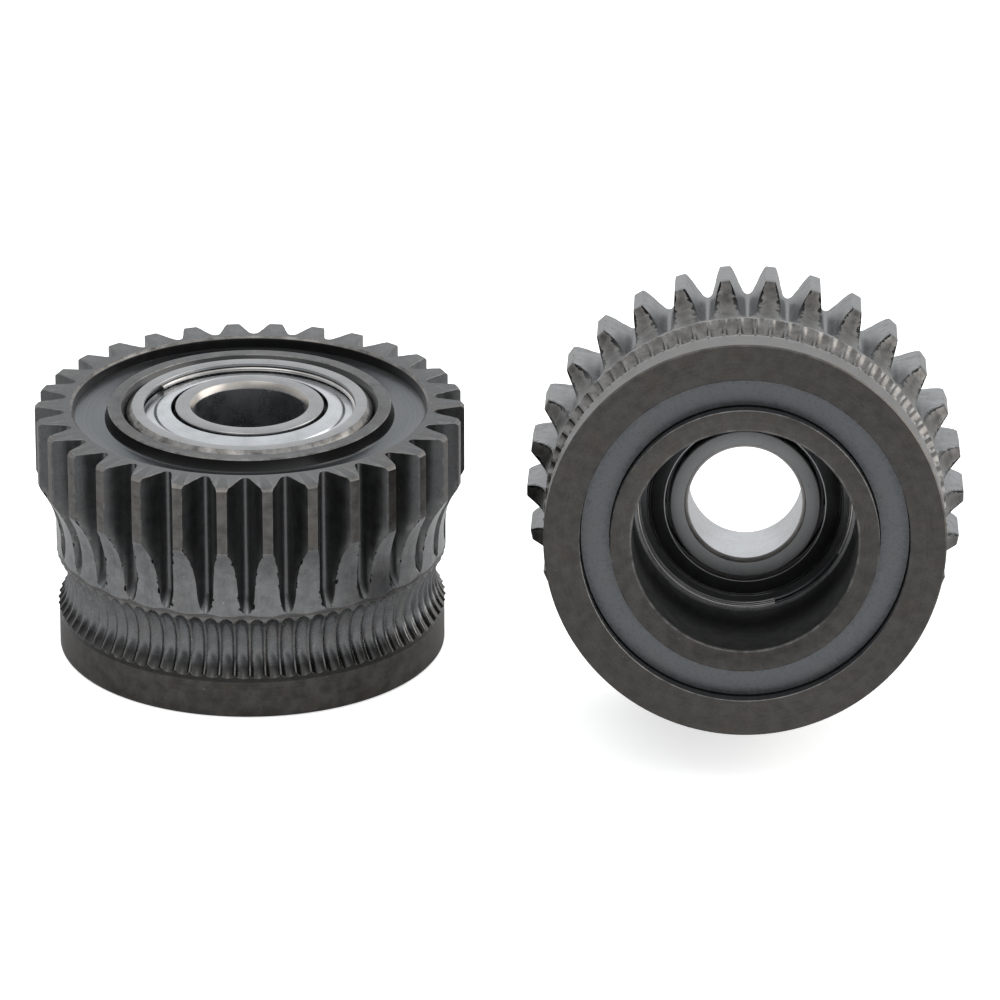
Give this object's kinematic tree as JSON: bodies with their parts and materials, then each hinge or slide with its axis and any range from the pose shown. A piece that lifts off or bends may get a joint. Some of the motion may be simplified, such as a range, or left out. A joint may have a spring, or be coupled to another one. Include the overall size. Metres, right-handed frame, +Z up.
{
  "type": "extruder gear assembly",
  "caption": "Pair of steel filament drive gears with spur teeth, a notched filament groove and a plain flange, each turning on its own shielded ball bearing.",
  "frame": {"origin": "on the ground, below the middle of the pair's bounding box", "axes": "+Z up, along the left gear's axis from its flange to its toothed end; +X from the left unit towards the right unit; the viewer looks along +Y"},
  "size_m": [0.0412, 0.0258, 0.0198],
  "materials": {
    "gear_body": "dark oxided hardened steel, satin",
    "bearing_ring": "ground",
    "shield": "pressed sheet, smooth",
    "snap_ring": "drawn wire",
    "cage": "pressed",
    "ball": "polished"
  },
  "bodies": {
    "inner_rings": {"left_inner_ring": "bearing_ring", "right_inner_ring": "bearing_ring"},
    "left_gear": {"left_drive_gear": "gear_body", "left_outer_ring": "bearing_ring", "left_top_shield": "shield", "left_bottom_shield": "shield", "left_top_snap_ring": "snap_ring", "left_bottom_snap_ring": "snap_ring"},
    "left_cage": {"left_ball_cage": "cage", "left_ball_1": "ball", "left_ball_2": "ball", "left_ball_3": "ball", "left_ball_4": "ball", "left_ball_5": "ball", "left_ball_6": "ball", "left_ball_7": "ball", "left_ball_8": "ball"},
    "right_gear": {"right_drive_gear": "gear_body", "right_outer_ring": "bearing_ring", "right_top_shield": "shield", "right_bottom_shield": "shield", "right_top_snap_ring": "snap_ring", "right_bottom_snap_ring": "snap_ring"},
    "right_cage": {"right_ball_cage": "cage", "right_ball_1": "ball", "right_ball_2": "ball", "right_ball_3": "ball", "right_ball_4": "ball", "right_ball_5": "ball", "right_ball_6": "ball", "right_ball_7": "ball", "right_ball_8": "ball"}
  },
  "joints": [
    {"name": "left_gear_spin", "type": "hinge", "parent": "inner_rings", "child": "left_gear", "pos_m": [-0.01102, 0.00332, 0.0089], "axis": [0, 0, 1], "continuous": true},
    {"name": "left_cage_spin", "type": "hinge", "parent": "inner_rings", "child": "left_cage", "pos_m": [-0.01102, 0.00332, 0.0089], "axis": [0, 0, 1], "continuous": true},
    {"name": "right_gear_spin", "type": "hinge", "parent": "inner_rings", "child": "right_gear", "pos_m": [0.01097, -0.00274, 0.00986], "axis": [0.031, 0.9872, -0.1564], "continuous": true},
    {"name": "right_cage_spin", "type": "hinge", "parent": "inner_rings", "child": "right_cage", "pos_m": [0.01097, -0.00274, 0.00986], "axis": [0.031, 0.9872, -0.1564], "continuous": true}
  ],
  "couplings": [
    {"joint": "left_cage_spin", "follows": "left_gear_spin", "ratio": 0.59925},
    {"joint": "right_cage_spin", "follows": "right_gear_spin", "ratio": 0.59925}
  ]
}
